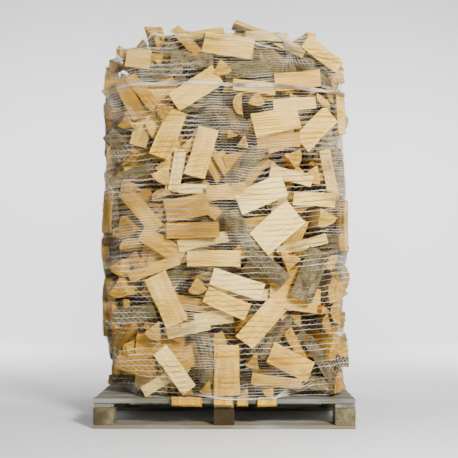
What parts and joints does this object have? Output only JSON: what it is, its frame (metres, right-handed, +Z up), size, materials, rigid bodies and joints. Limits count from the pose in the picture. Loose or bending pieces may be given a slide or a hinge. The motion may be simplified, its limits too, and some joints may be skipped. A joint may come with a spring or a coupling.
{
  "type": "pallet load of birch firewood",
  "caption": "Split birch logs tipped loose onto a wooden block pallet and held in a tall squared heap by a wrapped net gathered at the top.",
  "frame": {"origin": "on the ground under the middle of the pallet", "axes": "+Z up, the front towards -Y, the pallet's long side along X"},
  "size_m": [1.2564, 1.051, 1.9875],
  "materials": {
    "pallet_boards": "weathered grey softwood, rough sawn",
    "pallet_blocks": "weathered olive-brown softwood blocks",
    "split_birch": "freshly split birch, fibrous, yellowish tan",
    "birch_pile": "split birch with bark, tan and olive-grey",
    "net_strands": "whitish translucent knitted strands"
  },
  "bodies": {
    "root": {"runner_front": "pallet_boards", "runner_centre": "pallet_boards", "runner_back": "pallet_boards", "stringer_left": "pallet_boards", "stringer_middle": "pallet_boards", "stringer_right": "pallet_boards", "deck_board_1": "pallet_boards", "deck_board_2": "pallet_boards", "deck_board_3": "pallet_boards", "deck_board_4": "pallet_boards", "deck_board_5": "pallet_boards", "deck_board_6": "pallet_boards", "deck_board_7": "pallet_boards", "deck_board_8": "pallet_boards", "deck_board_9": "pallet_boards", "block_front_left": "pallet_blocks", "block_front_middle": "pallet_blocks", "block_front_right": "pallet_blocks", "block_centre_left": "pallet_blocks", "block_centre_middle": "pallet_blocks", "block_centre_right": "pallet_blocks", "block_back_left": "pallet_blocks", "block_back_middle": "pallet_blocks", "block_back_right": "pallet_blocks", "log_01": "split_birch", "log_02": "split_birch", "log_03": "split_birch", "log_04": "split_birch", "log_05": "split_birch", "log_06": "split_birch", "log_07": "split_birch", "log_08": "split_birch", "log_09": "split_birch", "log_10": "split_birch", "log_11": "split_birch", "log_12": "split_birch", "log_13": "split_birch", "log_14": "split_birch", "log_15": "split_birch", "log_16": "split_birch", "log_17": "split_birch", "log_18": "split_birch", "log_19": "split_birch", "log_20": "split_birch", "log_21": "split_birch", "log_22": "split_birch", "log_23": "split_birch", "log_24": "split_birch", "log_25": "split_birch", "log_26": "split_birch", "log_27": "split_birch", "log_28": "split_birch", "log_29": "split_birch", "log_30": "split_birch", "log_pile": "birch_pile", "net": "net_strands"}
  },
  "joints": []
}
